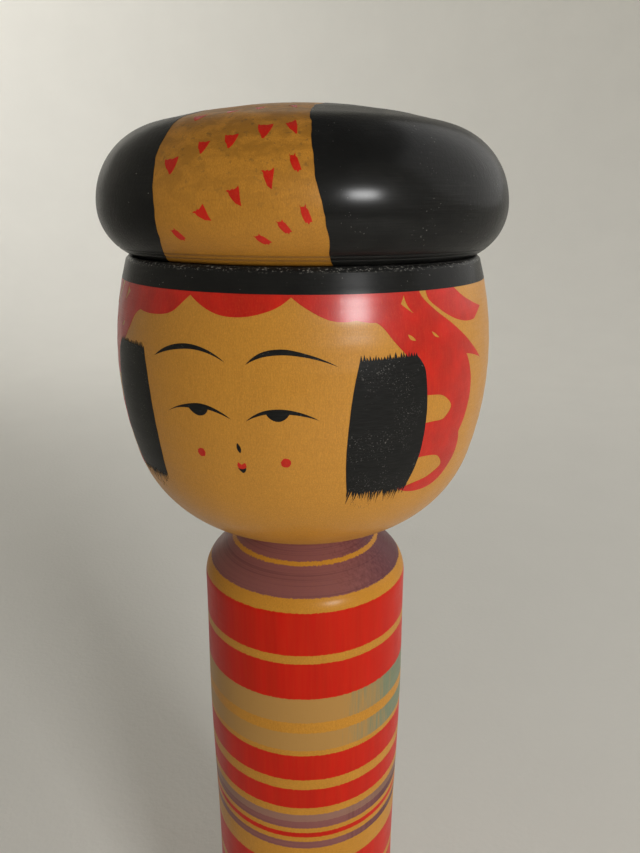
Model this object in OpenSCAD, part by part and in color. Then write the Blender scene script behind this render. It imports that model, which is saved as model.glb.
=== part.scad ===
// Turned wooden doll with a big round head, a bun-like roll of hair on top and a straight trunk.
// The head and its hair turn on a pin that snaps into the trunk.
// Millimetres. The origin is the centre of the base, +Z runs up the turning axis,
// and the face looks along -Y.

/* [Trunk] */
// Radius of the foot
foot_r = 28.4; // [24:0.1:36]
// Bevel round the foot's lower edge
foot_bevel = 0.8; // [0.2:0.1:2]
// Radius of the slight waist in the lower half
waist_r = 26.9; // [23:0.1:34]
// Height of the waist above the base
waist_h = 96; // [70:1:116]
// Radius of the slight belly in the upper half
belly_r = 27.6; // [24:0.1:35]
// Height of the belly above the base
belly_h = 148; // [130:1:165]
// Radius where the side meets the shoulder
shoulder_r = 27.2; // [23:0.1:34]
// Height at which the side and the shoulder's slope would meet in a sharp corner
shoulder_h = 189.6; // [180:0.1:240]
// Radius that rounds that corner
shoulder_round = 8; // [1:0.5:14]
// Slope of the shoulder above the horizontal, in degrees
shoulder_slope = 42.5; // [25:0.5:55]

/* [Neck] */
// Radius of the neck's flat top
neck_r = 14; // [12:0.1:16]
// Height of the straight lip below that top
neck_lip = 1; // [0.5:0.1:3]
// Space between the neck's top and the head that turns on it
neck_gap = 0.2; // [0.1:0.05:0.5]

/* [Head] */
// Radius of the head at its widest
head_r = 45; // [37:0.5:54]
// Radius of the long curve of the head's side
head_side_arc = 79; // [70:0.5:100]
// How far that curve runs below the widest line, in degrees
head_side_sweep = 16.3; // [12:0.1:19]
// Radius of the curve that closes the head underneath
head_under_arc = 29.2; // [26:0.1:32]
// Height from the widest line up to the seat of the hair
head_above = 24.1; // [18:0.1:30]
// Bevel round the seat's edge, one side of the dark crease
seat_bevel = 0.6; // [0.2:0.1:1.2]

/* [Hair roll] */
// Radius of the roll at its widest
roll_r = 46.8; // [38:0.1:57]
// Radius of the roll's lower edge
roll_lower_arc = 11.5; // [11.5:0.1:15]
// Height from the roll's flat underside up to its widest line
roll_below = 10.6; // [9:0.1:11.4]
// Radius of the roll's upper edge
roll_upper_arc = 17.2; // [13:0.1:20]
// How far the upper edge turns before the flatter crown takes over, in degrees
roll_upper_sweep = 74; // [60:1:76]

/* [Neck pin] */
// Radius of the pin's shank, which is glued into the head and turns in the trunk
pin_r = 8; // [6:0.1:9.4]
// How far the pin goes up into the head
pin_in_head = 24; // [12:0.5:30]
// How much the snap-in knob stands out beyond the shank
pin_lip = 0.8; // [0.5:0.1:1.5]
// Length of the knob's straight middle
knob_len = 7; // [4:0.5:14]
// Length of each tapered end of the knob
knob_taper = 2; // [1:0.5:4]

/* [Neck socket] */
// Length of the narrow throat that the knob is snapped through
throat_len = 8; // [5:0.5:14]
// Space all round the shank in the throat
throat_gap = 0.08; // [0.02:0.01:0.1]
// Space all round the knob in its chamber, and above and below it
chamber_gap = 0.4; // [0.2:0.05:0.8]
// Bevel at the throat's mouth
mouth_bevel = 0.8; // [0.3:0.1:1.5]

/* [Roll peg] */
// Radius of the peg that locates the roll on the head
peg_r = 6; // [4:0.1:9]
// How far the peg goes down into the head
peg_in_head = 15; // [8:0.5:18]
// How far the peg goes up into the roll
peg_in_roll = 14; // [8:0.5:18]
// Bevel at both ends of the peg and at the top of the neck pin
peg_bevel = 0.8; // [0.3:0.1:1.5]
// Air left beyond the end of the peg and of the neck pin for glue
glue_room = 1; // [0.5:0.1:2]

/* [Hidden] */
$fn = 96;
// Most degrees that one straight step of a curve may turn, and its length along the trunk
step_deg = 4;
step_h = 4;

// Degrees that the trunk's outline turns between its upright side and the shoulder's slope
shoulder_turn = 90 - shoulder_slope;

// Heights of the joints between the pieces, from the base up
neck_h = shoulder_h + (shoulder_r - neck_r) * tan(shoulder_slope) + neck_lip;
head_h = neck_h + neck_gap;
head_below = (head_side_arc - head_under_arc) * sin(head_side_sweep) + head_under_arc;
head_wide_h = head_h + head_below;
seat_h = head_wide_h + head_above;
roll_wide_h = seat_h + roll_below;

// Heights of the pin and of its socket
throat_r = pin_r + throat_gap;
knob_r = pin_r + pin_lip;
chamber_r = knob_r + chamber_gap;
throat_h = neck_h - throat_len;
knob_top_h = throat_h - chamber_gap;
knob_h = knob_top_h - 2 * knob_taper - knob_len;
chamber_h = knob_h - chamber_gap;

// Points along an arc about [x, y], from angle a to angle b
function arc(x, y, r, a, b) =
    let (n = max(1, ceil(abs(b - a) / step_deg)))
    [for (i = [0:n]) [x + r * cos(a + (b - a) * i / n), y + r * sin(a + (b - a) * i / n)]];

// Points along the trunk's side between two heights, level at both ends like a shallow S
function side(r1, h1, r2, h2) =
    let (n = max(2, ceil((h2 - h1) / step_h)))
    [for (i = [0:n]) [r1 + (r2 - r1) * (1 - cos(180 * i / n)) / 2, h1 + (h2 - h1) * i / n]];

// A point list without its first point, so that two stretches share one point
function rest(list) = [for (i = [1:len(list) - 1]) list[i]];

// A round blind hole, or the peg that fills it, standing on height h
module round_bar(r, h, length) {
    translate([0, 0, h]) cylinder(r = r, h = length);
}

// The trunk: foot, waist, belly, rounded shoulder, sloping neck, and the socket for the pin
module body() {
    round_start_h = shoulder_h - shoulder_round * tan(shoulder_turn / 2);
    outline = concat(
        [[0, 0], [foot_r - foot_bevel, 0]],
        side(foot_r, foot_bevel, waist_r, waist_h),
        rest(side(waist_r, waist_h, belly_r, belly_h)),
        rest(side(belly_r, belly_h, shoulder_r, round_start_h)),
        rest(arc(shoulder_r - shoulder_round, round_start_h, shoulder_round, 0, shoulder_turn)),
        [[neck_r, neck_h - neck_lip], [neck_r, neck_h], [0, neck_h]]
    );
    color([0.76, 0.2, 0.1]) difference() {
        rotate_extrude() polygon(outline);
        round_bar(throat_r, chamber_h, neck_h - chamber_h + 1);
        round_bar(chamber_r, chamber_h, throat_h - chamber_h);
        translate([0, 0, neck_h - mouth_bevel])
            cylinder(r1 = throat_r, r2 = throat_r + mouth_bevel, h = mouth_bevel);
    }
}

// The pin that the head turns on: shank glued into the head, knob caught below the throat
module neck_pin() {
    top_h = head_h + pin_in_head - glue_room;
    color([0.82, 0.66, 0.42]) rotate_extrude() polygon([
        [0, knob_h],
        [pin_r - pin_lip, knob_h],
        [knob_r, knob_h + knob_taper],
        [knob_r, knob_h + knob_taper + knob_len],
        [pin_r, knob_top_h],
        [pin_r, top_h - peg_bevel],
        [pin_r - peg_bevel, top_h],
        [0, top_h]
    ]);
}

// The head: one long curve for the side and a tighter one underneath, bored for pin and peg
module head() {
    side_x = head_r - head_side_arc;
    under_x = side_x + (head_side_arc - head_under_arc) * cos(head_side_sweep);
    bevel_turn = asin((head_above - seat_bevel) / head_side_arc);
    seat_r = side_x + head_side_arc * cos(bevel_turn) - seat_bevel;
    outline = concat(
        [[0, head_h]],
        arc(under_x, head_h + head_under_arc, head_under_arc, -90, -head_side_sweep),
        rest(arc(side_x, head_wide_h, head_side_arc, -head_side_sweep, 0)),
        rest(arc(side_x, head_wide_h, head_side_arc, 0, bevel_turn)),
        [[seat_r, seat_h], [0, seat_h]]
    );
    color([0.85, 0.66, 0.38]) difference() {
        rotate_extrude() polygon(outline);
        round_bar(pin_r, head_h - 1, pin_in_head + 1);
        round_bar(peg_r, seat_h - peg_in_head, peg_in_head + 1);
    }
}

// The peg that holds the roll in line with the head
module roll_peg() {
    low_h = seat_h - peg_in_head;
    top_h = seat_h + peg_in_roll - glue_room;
    color([0.82, 0.66, 0.42]) rotate_extrude() polygon([
        [0, low_h],
        [peg_r - peg_bevel, low_h],
        [peg_r, low_h + peg_bevel],
        [peg_r, top_h - peg_bevel],
        [peg_r - peg_bevel, top_h],
        [0, top_h]
    ]);
}

// The roll of hair: round lower edge, rounder upper edge and a low crown, bored for the peg
module hair_roll() {
    lower_x = roll_r - roll_lower_arc;
    upper_x = roll_r - roll_upper_arc;
    crown_arc = upper_x / cos(roll_upper_sweep) + roll_upper_arc;
    crown_h = roll_wide_h - upper_x * tan(roll_upper_sweep);
    lower_turn = asin(roll_below / roll_lower_arc);
    outline = concat(
        [[0, seat_h]],
        arc(lower_x, roll_wide_h, roll_lower_arc, -lower_turn, 0),
        rest(arc(upper_x, roll_wide_h, roll_upper_arc, 0, roll_upper_sweep)),
        rest(arc(0, crown_h, crown_arc, roll_upper_sweep, 90))
    );
    color([0.12, 0.11, 0.1]) difference() {
        rotate_extrude() polygon(outline);
        round_bar(peg_r, seat_h - 1, peg_in_roll + 1);
    }
}

body();
neck_pin();
head();
roll_peg();
hair_roll();
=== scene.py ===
"""A turned wooden kokeshi doll: its trunk, head and roll of hair, and the paint brushed on them."""

import math
import random

import bpy
import numpy as np
from mathutils import Euler, Matrix, Vector
from mathutils.geometry import delaunay_2d_cdt


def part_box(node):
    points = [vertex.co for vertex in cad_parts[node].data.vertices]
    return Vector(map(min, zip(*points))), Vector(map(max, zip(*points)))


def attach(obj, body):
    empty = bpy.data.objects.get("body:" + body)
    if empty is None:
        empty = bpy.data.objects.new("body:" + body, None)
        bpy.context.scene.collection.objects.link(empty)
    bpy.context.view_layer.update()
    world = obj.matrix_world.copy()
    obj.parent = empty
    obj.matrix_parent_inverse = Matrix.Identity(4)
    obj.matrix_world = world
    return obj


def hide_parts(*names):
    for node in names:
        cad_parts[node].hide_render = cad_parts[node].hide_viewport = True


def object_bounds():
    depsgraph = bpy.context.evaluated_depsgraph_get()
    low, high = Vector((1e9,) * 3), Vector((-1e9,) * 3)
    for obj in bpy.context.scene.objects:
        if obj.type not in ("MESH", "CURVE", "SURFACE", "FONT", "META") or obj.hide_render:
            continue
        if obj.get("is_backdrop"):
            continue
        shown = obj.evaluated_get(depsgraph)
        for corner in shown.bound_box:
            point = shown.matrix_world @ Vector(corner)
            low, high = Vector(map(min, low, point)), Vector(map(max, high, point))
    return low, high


bl_info = {
    "name": "Kokeshi doll",
    "version": (1, 0, 0),
    "blender": (4, 5, 0),
    "location": "3D View > Sidebar > Kokeshi",
    "description": "Turns a wooden kokeshi doll and paints its face, hair and bands",
    "category": "Add Mesh",
}

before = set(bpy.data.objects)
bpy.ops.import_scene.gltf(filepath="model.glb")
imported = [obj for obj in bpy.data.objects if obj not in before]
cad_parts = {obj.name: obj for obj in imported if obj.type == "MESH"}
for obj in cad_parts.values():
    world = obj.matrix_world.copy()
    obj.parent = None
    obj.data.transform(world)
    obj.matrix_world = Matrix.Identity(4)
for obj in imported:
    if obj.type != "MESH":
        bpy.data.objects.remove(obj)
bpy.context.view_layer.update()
TRUNK_BODY = "trunk"
HEAD_BODY = "turning_head"
MM = 0.001

# Rings of dye on the trunk, from its top edge down: the dye and how much of the height it covers, in mm.
TRUNK_BANDS = (
    ("purple", 5.9), ("wood", 1.2), ("purple", 5.2), ("wood", 3.5),
    ("red", 11.9), ("wood", 2.2), ("red", 10.2), ("green", 6.7),
    ("wood", 3.2), ("green", 5.6), ("wood", 2.0), ("red", 8.1),
    ("wood", 2.4), ("red", 6.7), ("wood", 2.7), ("mauve", 2.4),
    ("purple", 2.1), ("wood", 1.6), ("red", 1.4), ("wood", 1.8),
    ("purple", 2.4), ("wood", 6.0), ("red", 11.5), ("wood", 2.2),
    ("red", 10.2), ("green", 6.7), ("wood", 3.2), ("green", 5.6),
    ("wood", 2.0), ("red", 8.1), ("wood", 6.0), ("purple", 2.4),
    ("wood", 1.8), ("red", 1.4), ("wood", 16.0), ("red", 14.0),
)

# The painted marks. Each point is (degrees round from the middle of the face, mm below the hair's seat).
# A mark is a list of strokes; a stroke is one smooth line, and strokes meet in corners.
FACE_INK = {
    "brow_left": [
        [(-25.7, 18.1), (-19.6, 15.5), (-13.4, 14.7), (-7.8, 15.5), (-2.9, 17.6)],
        [(-2.9, 17.6), (-6.9, 16.3), (-11.4, 15.7), (-17.4, 16.1), (-25.7, 18.1)],
    ],
    "brow_right": [
        [(2.6, 17.8), (6.5, 15.4), (10.8, 14.7), (17.8, 15.6), (25.4, 18.1)],
        [(25.4, 18.1), (17.4, 16.2), (10.8, 15.8), (6.3, 16.4), (2.6, 17.8)],
    ],
    "eye_left": [
        [(-21.5, 29.2), (-15.5, 27.0), (-9.6, 26.3), (-5.2, 27.2), (-1.6, 28.8)],
        [(-1.6, 28.8), (-5.0, 27.8), (-8.0, 27.3)],
        [(-8.0, 27.3), (-9.0, 28.4), (-10.8, 28.8), (-12.6, 28.3), (-13.8, 27.5)],
        [(-13.8, 27.5), (-17.0, 27.8), (-21.5, 29.2)],
    ],
    "eye_right": [
        [(2.3, 29.0), (6.5, 26.8), (11.0, 26.2), (15.5, 26.7), (20.6, 28.4)],
        [(20.6, 28.4), (17.0, 27.6), (13.3, 27.2)],
        [(13.3, 27.2), (12.4, 28.1), (10.6, 28.7), (8.8, 28.3), (7.6, 27.3)],
        [(7.6, 27.3), (5.0, 27.9), (2.3, 29.0)],
    ],
    "nose": [
        [(-0.4, 33.7), (0.3, 34.5), (0.5, 35.2), (0.2, 35.9)],
        [(0.2, 35.9), (-0.5, 35.2), (-0.4, 33.7)],
    ],
    "mouth_shadow": [
        [(-0.9, 39.3), (0.2, 39.5), (1.4, 39.1)],
        [(1.4, 39.1), (1.1, 40.0), (0.5, 40.4), (-0.2, 40.0), (-0.9, 39.3)],
    ],
}
FACE_RED = {
    "mouth": [
        [(-0.7, 38.0), (0.2, 38.5)],
        [(0.2, 38.5), (1.2, 38.0)],
        [(1.2, 38.0), (1.5, 39.0), (0.2, 39.7), (-0.9, 39.1), (-0.7, 38.0)],
    ],
}
# Each cheek's dot: degrees round, mm below the seat, and its width in mm.
CHEEKS = {"cheek_left": (-11.4, 36.9, 1.9), "cheek_right": (12.2, 37.5, 2.1)}
# The red fringe below the band: scallops that meet in points, tucked under the band along the top.
FRINGE = [
    [(-44.0, 5.0), (-38.4, 8.4)],
    [(-38.4, 8.4), (-33.0, 9.6), (-26.0, 9.9), (-19.6, 9.0), (-15.4, 6.6), (-13.6, 5.5)],
    [(-13.6, 5.5), (-10.5, 7.1), (-5.0, 8.8), (0.7, 9.1), (6.0, 8.4), (11.0, 6.9), (13.8, 5.3)],
    [(13.8, 5.3), (18.6, 7.8), (24.0, 9.6), (30.0, 9.6)],
    [(30.0, 9.6), (40.0, 9.0), (44.0, 4.0)],
    [(44.0, 4.0), (0.0, 4.0), (-44.0, 4.0)],
]
# The red ornament beside each side lock, drawn for the doll's left and mirrored for its right.
ORNAMENT = [
    [(26.0, 4.0), (26.0, 8.8)],
    [(26.0, 8.8), (32.0, 9.2), (36.0, 10.6), (40.0, 14.0), (44.0, 17.2)],
    [(44.0, 17.2), (44.0, 30.0), (44.4, 45.8)],
    [(44.4, 45.8), (47.8, 47.0), (53.0, 47.7), (59.3, 47.2), (65.0, 44.2), (67.5, 40.0), (66.4, 36.0)],
    [(66.4, 36.0), (68.6, 32.5), (69.9, 27.0), (68.8, 22.0), (66.4, 18.6)],
    [(66.4, 18.6), (70.5, 19.3), (75.7, 20.6)],
    [(75.7, 20.6), (69.9, 17.1), (60.0, 11.8), (53.0, 8.4), (48.8, 5.4), (48.0, 4.0)],
    [(48.0, 4.0), (37.0, 4.0), (26.0, 4.0)],
]
ORNAMENT_GAPS = (
    [
        [(46.0, 25.6), (51.5, 25.5), (57.0, 26.5), (60.2, 29.2), (58.0, 31.2), (53.0, 31.4), (46.0, 31.0)],
        [(46.0, 31.0), (46.0, 25.6)],
    ],
    [
        [(45.6, 39.6), (53.0, 39.2), (58.5, 40.4), (60.6, 42.6), (57.0, 44.3), (50.0, 45.3), (46.2, 45.7)],
        [(46.2, 45.7), (45.6, 39.6)],
    ],
    [
        [(40.0, 5.4), (43.4, 5.3)],
        [(43.4, 5.3), (44.2, 7.2), (46.2, 9.0)],
        [(46.2, 9.0), (43.0, 7.4), (40.0, 5.4)],
    ],
    [[(43.9, 12.8), (45.2, 13.2), (46.4, 14.1)], [(46.4, 14.1), (44.9, 13.9), (43.9, 12.8)]],
    [[(51.7, 12.7), (53.0, 13.2), (54.4, 14.1)], [(54.4, 14.1), (52.7, 13.7), (51.7, 12.7)]],
)
PETAL = [
    [(50.6, 4.0), (51.2, 6.1), (55.0, 8.5), (61.0, 10.8), (67.0, 11.9), (72.0, 11.9)],
    [(72.0, 11.9), (74.6, 10.8), (77.4, 9.6)],
    [(77.4, 9.6), (71.0, 8.2), (65.0, 6.2), (61.0, 4.0)],
    [(61.0, 4.0), (50.6, 4.0)],
]
# The black lock at each temple: its inner edge downwards, and its outer edge upwards.
LOCK_INNER = [(30.6, 17.3), (29.2, 22.4), (28.1, 30.0), (27.8, 37.6), (28.6, 44.6)]
LOCK_OUTER = [(47.2, 45.6), (49.6, 40.2), (50.6, 32.0), (50.1, 24.0), (49.0, 19.4), (46.8, 17.1)]
# Edges of the bare strip over the roll: mm up from the seat, mm out from the middle.
STRIP_EDGES = {
    "left": (
        (0, 16.7), (5, 17.5), (9, 17.2), (12.5, 16.3), (16, 15.3), (20, 14.4), (25, 12.8), (29, 9.8),
        (32, 9.0),
    ),
    "right": ((0, 17.1), (1.5, 16.2), (5, 15.2), (10, 15.1), (19, 15.4), (24, 14.6), (32, 14.2)),
    "left_back": ((0, 16.8), (8, 15.8), (16, 14.6), (24, 12.4), (29, 9.8), (32, 9.0)),
    "right_back": ((0, 16.9), (8, 15.8), (16, 15.3), (24, 14.7), (32, 14.2)),
}
# The shapes that the brush's corner leaves, in mm.
DAB_SHAPES = {
    "wedge": [
        (-1.75, 0.80), (-1.20, 1.00), (-0.90, 0.85), (-0.50, 1.20), (-0.15, 1.05), (0.35, 1.40),
        (0.80, 1.85), (1.00, 1.20), (1.15, 0.30), (1.30, -0.60), (1.55, -1.75), (1.10, -1.60),
        (0.40, -1.35), (-0.30, -0.70), (-0.95, 0.00), (-1.20, 0.55),
    ],
    "slant": [
        (-1.70, 1.20), (-1.30, 0.90), (-1.00, 1.05), (-0.60, 1.05), (-0.40, 1.50), (-0.10, 1.00),
        (0.35, 0.75), (0.90, 0.10), (1.30, -0.35), (1.80, -1.00), (1.35, -1.05), (1.10, -1.50),
        (0.70, -1.20), (0.35, -1.35), (-0.20, -0.95), (-0.75, -0.40), (-1.15, 0.10), (-1.30, 0.60),
    ],
    "comb": [
        (-1.60, 1.00), (-1.00, 0.85), (-0.40, 1.00), (0.20, 0.90), (0.90, 1.10), (1.60, 1.25),
        (1.55, 0.60), (1.30, -0.10), (0.95, -0.80), (0.40, -1.50), (0.00, -1.55), (-0.40, -0.90),
        (-1.00, -0.40), (-1.40, 0.30),
    ],
}
# The dabs on the bare strip: shape, mm across from the middle, mm up from the seat, degrees turned, and how
# wide and how high each is beside its shape.
DABS = (
    ("slant", -10.5, 5.7, 6, 0.95, 1.0), ("wedge", -4.7, 9.3, 14, 1.12, 0.95),
    ("wedge", 1.7, 12.4, -2, 1.0, 1.05), ("wedge", 7.5, 15.4, -14, 0.9, 1.15),
    ("slant", 11.8, 17.9, -12, 0.9, 1.25), ("comb", -11.5, 17.7, 4, 1.1, 1.3),
    ("comb", -5.4, 20.7, -4, 0.85, 1.1), ("comb", -0.3, 21.7, -2, 0.98, 1.3),
    ("comb", 5.3, 23.4, -4, 1.1, 1.55), ("comb", 10.0, 24.0, 18, 0.8, 1.6),
    ("comb", -9.6, 26.3, 10, 1.1, 1.2), ("comb", -4.0, 27.4, 0, 1.0, 1.1),
    ("comb", 0.3, 28.3, 6, 1.0, 1.1), ("wedge", 6.4, 28.7, 0, 1.0, 1.1),
    ("slant", 6.1, 5.1, 8, 1.0, 0.9), ("slant", 10.2, 7.3, -2, 0.92, 0.95),
    ("slant", 14.0, 9.4, -10, 0.85, 1.2),
)

# The size of all the dabs beside these shapes, and how far their edges wander, in mm.
DAB_SIZE = 0.9
DAB_WANDER = 0.22
# The two lines cut round the roll's foot: mm along its outline, mm up from its seat, and their width in mm.
SCRIBED_ALONG = (2.4, 3.6)
SCRIBED_RISE = (1.16, 1.88)
SCRIBED_WIDTH = 0.16
# How far the dry brush's streaks reach below a lock, in mm, from its inner edge to its outer one.
STREAK_REACH = (2.4, 4.2, 5.2, 5.2, 4.4, 3.2, 3.5, 3.3, 1.5)
STREAKS = 46
# The outline of one streak in mm, and its share of a full coat's lift and depth.
STREAK_SHAPE = [(-0.08, 0.15), (-0.11, -0.25), (0.0, -1.0), (0.11, -0.25), (0.08, 0.15)]
STREAK_COAT = 0.8
# The teeth along a side lock's foot and top: how many, and the longest in mm.
LOCK_FOOT = (24, 2.0)
LOCK_TOP = (21, 1.35)
# How far the hair band runs in under the roll, in mm.
BAND_TUCK = 1.4
# The rings that the tool left on the shoulder, in mm: their depth and spacing, and how fast they come and go.
TOOL_RING_DEPTH = 0.03
TOOL_RING_STEP = 0.9
TOOL_RING_BEAT = 2.3
# Edges that turn more than this many degrees stay sharp.
SHARP = 35
# The soft lights: degrees round, degrees up, metres away, and width and height in metres.
LIGHTS = {
    "key": (47, 15, 0.9, (0.21, 0.12)),
    "window": (128, 26, 1.5, (2.2, 1.8)),
    "cove_light": (-20, 40, 0.8, (1.2, 0.8)),
}
# Where the cove's light points, in metres, and how far up the doll the others do, as a share of its height.
COVE_AIM = (-0.7, 1.5, 0.35)
AIM_SHARE = 0.83
SKY_COLOUR = (1.0, 0.98, 0.96, 1)
# The floor's half width, the cove's radius and the wall's height, in metres.
FLOOR_HALF = 1.1
COVE_RADIUS = 0.7
WALL_HEIGHT = 2.2


def sizes():
    """The sizes that a user can change."""
    return bpy.context.scene.kokeshi_sizes


def colours():
    """The colours that a user can change."""
    return bpy.context.scene.kokeshi_colours


def number(name, description, default, unit="NONE"):
    """A number property."""
    return bpy.props.FloatProperty(name=name, description=description, default=default, unit=unit)


def millimetres(name, description, default):
    """A length property whose default is given in mm."""
    return number(name, description, default * MM, "LENGTH")


def degrees(name, description, default):
    """An angle property whose default is given in degrees."""
    return number(name, description, math.radians(default), "ROTATION")


def tint(name, description, default):
    """A colour property."""
    return bpy.props.FloatVectorProperty(
        name=name, description=description, default=default, size=3, min=0, max=1, subtype="COLOR"
    )


class KOKESHI_PG_sizes(bpy.types.PropertyGroup):
    """Sizes of the turned pieces and of the paint"""

    steps_around: bpy.props.IntProperty(
        name="Steps around", description="Faces round a turned piece", default=144, min=24
    )
    row: millimetres("Row height", "Height of one row of faces on a turned piece", 0.55)
    seat: millimetres("Paint allowance", "How far the wood lies inside the finished size", 0.06)
    lift_red: millimetres("Red paint", "How far red paint stands above the wood", 0.03)
    lift_black: millimetres("Black paint", "How far black paint stands above the wood", 0.045)
    film: millimetres("Film depth", "Thickness of a painted mark, most of it sunk in the wood", 0.09)
    grain: millimetres("Mark detail", "Size of the faces inside a painted mark", 1.1)
    band: millimetres("Hair band", "How far the black band reaches below the hair's seat", 4.85)
    groove: millimetres("Scribed line", "Depth of the two lines cut round the roll's foot", 0.14)
    strip: number("Strip width", "Width of the bare strip, as a share of its usual width", 1.0)


class KOKESHI_PG_colours(bpy.types.PropertyGroup):
    """Colours of the wood, the dyes and the backdrop"""

    wood: tint("Wood", "Waxed bare wood", (0.57, 0.255, 0.03))
    wood_dark: tint("Dark grain", "The darker fibres of the bare wood", (0.40, 0.15, 0.012))
    red: tint("Red dye", "Scarlet dye", (0.60, 0.009, 0.001))
    purple: tint("Purple dye", "Purple dye where it is fresh", (0.10, 0.025, 0.045))
    mauve: tint("Mauve dye", "Purple dye laid thin", (0.27, 0.14, 0.12))
    green: tint("Green dye", "Green dye where it is fresh", (0.155, 0.22, 0.145))
    black: tint("Black paint", "The hair's black", (0.008, 0.008, 0.0075))
    backdrop: tint("Backdrop", "Floor and cove of the studio", (0.80, 0.78, 0.72))


class KOKESHI_PG_stage(bpy.types.PropertyGroup):
    """Lights and camera"""

    key: number("Key", "Key light", 4.3, "POWER")
    window: number("Window", "Wide light from the side", 9.5, "POWER")
    cove_light: number("Cove", "Light on the cove", 4.5, "POWER")
    sky: number("Sky", "Strength of the even light", 0.10)
    lens: number("Lens", "Focal length", 29.18, "CAMERA")
    distance: millimetres("Distance", "From the doll's axis to the camera, level", 171.0)
    height: millimetres("Height", "Height of the camera", 281.4)
    aside: millimetres("Aside", "How far the camera stands to the right of the axis", 3.98)
    turn: degrees("Turn", "How far round the camera stands", 15.7)
    dip: degrees("Dip", "How far the camera looks down", 17.9)
    roll: degrees("Roll", "How far the camera leans", 0.16)


# ---------------------------------------------------------------- node trees


class Tree:
    """A node tree being laid out from left to right."""

    def __init__(self, tree):
        self.tree = tree

    def add(self, kind, inputs=None, **settings):
        """Adds a node, sets it and wires the inputs that are given as sockets."""
        node = self.tree.nodes.new(kind)
        node.location = (180 * len(self.tree.nodes), 0)
        for key, value in settings.items():
            setattr(node, key, value)
        for key, value in (inputs or {}).items():
            if isinstance(value, bpy.types.NodeSocket):
                self.tree.links.new(value, node.inputs[key])
            else:
                node.inputs[key].default_value = value
        return node

    def get(self, kind, inputs=None, output=0, **settings):
        """Adds a node and gives one of its outputs."""
        return self.add(kind, inputs, **settings).outputs[output]

    def sum(self, operation, a, b=0.0, c=0.0):
        """One step of arithmetic."""
        return self.get("ShaderNodeMath", {0: a, 1: b, 2: c}, operation=operation)

    def apart(self, vector):
        """The X, Y and Z of a vector."""
        return self.add("ShaderNodeSeparateXYZ", {0: vector}).outputs

    def together(self, x, y, z):
        """A vector from its X, Y and Z."""
        return self.get("ShaderNodeCombineXYZ", {0: x, 1: y, 2: z})


class Finish(Tree):
    """A material being mixed: one Principled shader and what feeds it."""

    def __init__(self, name, roughness=0.45, coat=0.0, coat_roughness=0.3, shine=0.2):
        self.material = bpy.data.materials.new(name)
        self.material.use_nodes = True
        super().__init__(self.material.node_tree)
        self.shader = self.tree.nodes["Principled BSDF"]
        self.shader.inputs["Roughness"].default_value = roughness
        self.shader.inputs["Specular IOR Level"].default_value = shine
        self.shader.inputs["Coat Weight"].default_value = coat
        self.shader.inputs["Coat Roughness"].default_value = coat_roughness
        self.place = self.get("ShaderNodeTexCoord", output="Object")
        self.surface = None

    def noise(self, across, along, detail=3.0, rough=0.55, warp=0.0):
        """Noise whose spots are `across` mm wide level with the floor and `along` mm high."""
        per_metre = [1 / (across * MM), 1 / (across * MM), 1 / (along * MM)]
        place = self.get("ShaderNodeMapping", {"Vector": self.place, "Scale": per_metre})
        inputs = {"Vector": place, "Scale": 1.0, "Detail": detail, "Roughness": rough, "Distortion": warp}
        return self.get("ShaderNodeTexNoise", inputs)

    def ramp(self, source, *stops, interpolation="LINEAR"):
        """A number that changes along a source: (place, value) stops from low to high."""
        node = self.add("ShaderNodeValToRGB", {0: source})
        ramp = node.color_ramp
        ramp.interpolation = interpolation
        while len(ramp.elements) < len(stops):
            ramp.elements.new(1.0)
        for element, (place, value) in zip(ramp.elements, stops):
            element.position = place
            element.color = (value, value, value, 1)
        return node.outputs[0]

    def rise(self, source, low, high, top=1.0):
        """A number that is 0 up to one place on the source and `top` past another."""
        return self.ramp(source, (low, 0.0), (high, top))

    def fade(self, source, low, high, at_low, at_high):
        """A number that runs from one value to another between two places on the source."""
        return self.get("ShaderNodeMapRange", {0: source, 1: low, 2: high, 3: at_low, 4: at_high})

    def off(self, source, place):
        """How far the source is from a place on it."""
        return self.sum("ABSOLUTE", self.sum("SUBTRACT", source, place))

    def mix(self, share, a, b, blend="MIX"):
        """Two colours mixed by a share from 0 to 1."""
        full = [value if isinstance(value, bpy.types.NodeSocket) else (*value, 1) for value in (a, b)]
        inputs = {0: share, 6: full[0], 7: full[1]}
        return self.get("ShaderNodeMix", inputs, 2, data_type="RGBA", blend_type=blend)

    def bump(self, height, depth):
        """Raises the surface by a height from 0 to 1, `depth` mm deep, on top of earlier bumps."""
        inputs = {"Height": height, "Distance": depth * MM, "Strength": 1.0}
        if self.surface:
            inputs["Normal"] = self.surface
        self.surface = self.get("ShaderNodeBump", inputs)

    def done(self, colour, roughness=None):
        """Wires the colour, roughness and bumps to the shader and gives the material."""
        self.tree.links.new(colour, self.shader.inputs["Base Color"])
        if roughness:
            self.tree.links.new(roughness, self.shader.inputs["Roughness"])
        if self.surface:
            self.tree.links.new(self.surface, self.shader.inputs["Normal"])
        return self.material


# Colours of age, wear and thin dye, and the painted shade in the scribed lines, which only show through the
# main ones.
STRIP_TONE = (0.9, 0.88, 0.85)
OLD_STAIN = (0.27, 0.115, 0.012)
OLD_SPECK = (0.10, 0.06, 0.02)
# Painted shade for the roll's two scribed lines.
GROOVE_PAINTED_SHADE = (0.10, 0.045, 0.008)
CHIPPED = (0.42, 0.40, 0.36)
DRY_INK = (0.36, 0.34, 0.31)
THIN_RED = (0.68, 0.075, 0.012)
BLEACHED_GREEN = (0.44, 0.24, 0.07)
BLEACHED_PURPLE = (0.24, 0.085, 0.085)
DRY_WOOD = (0.66, 0.47, 0.25)
DRY_GRAIN = (0.45, 0.28, 0.12)
# How much lighter the black is where it is rubbed or thin.
RUBBED_BLACK = 2.6
# The trunk's usual radius in mm, and X and Y of the way to its side that light hasn't bleached.
TRUNK_RADIUS = 27.5
SHADED_WAY = (0.77, 0.64)


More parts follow.
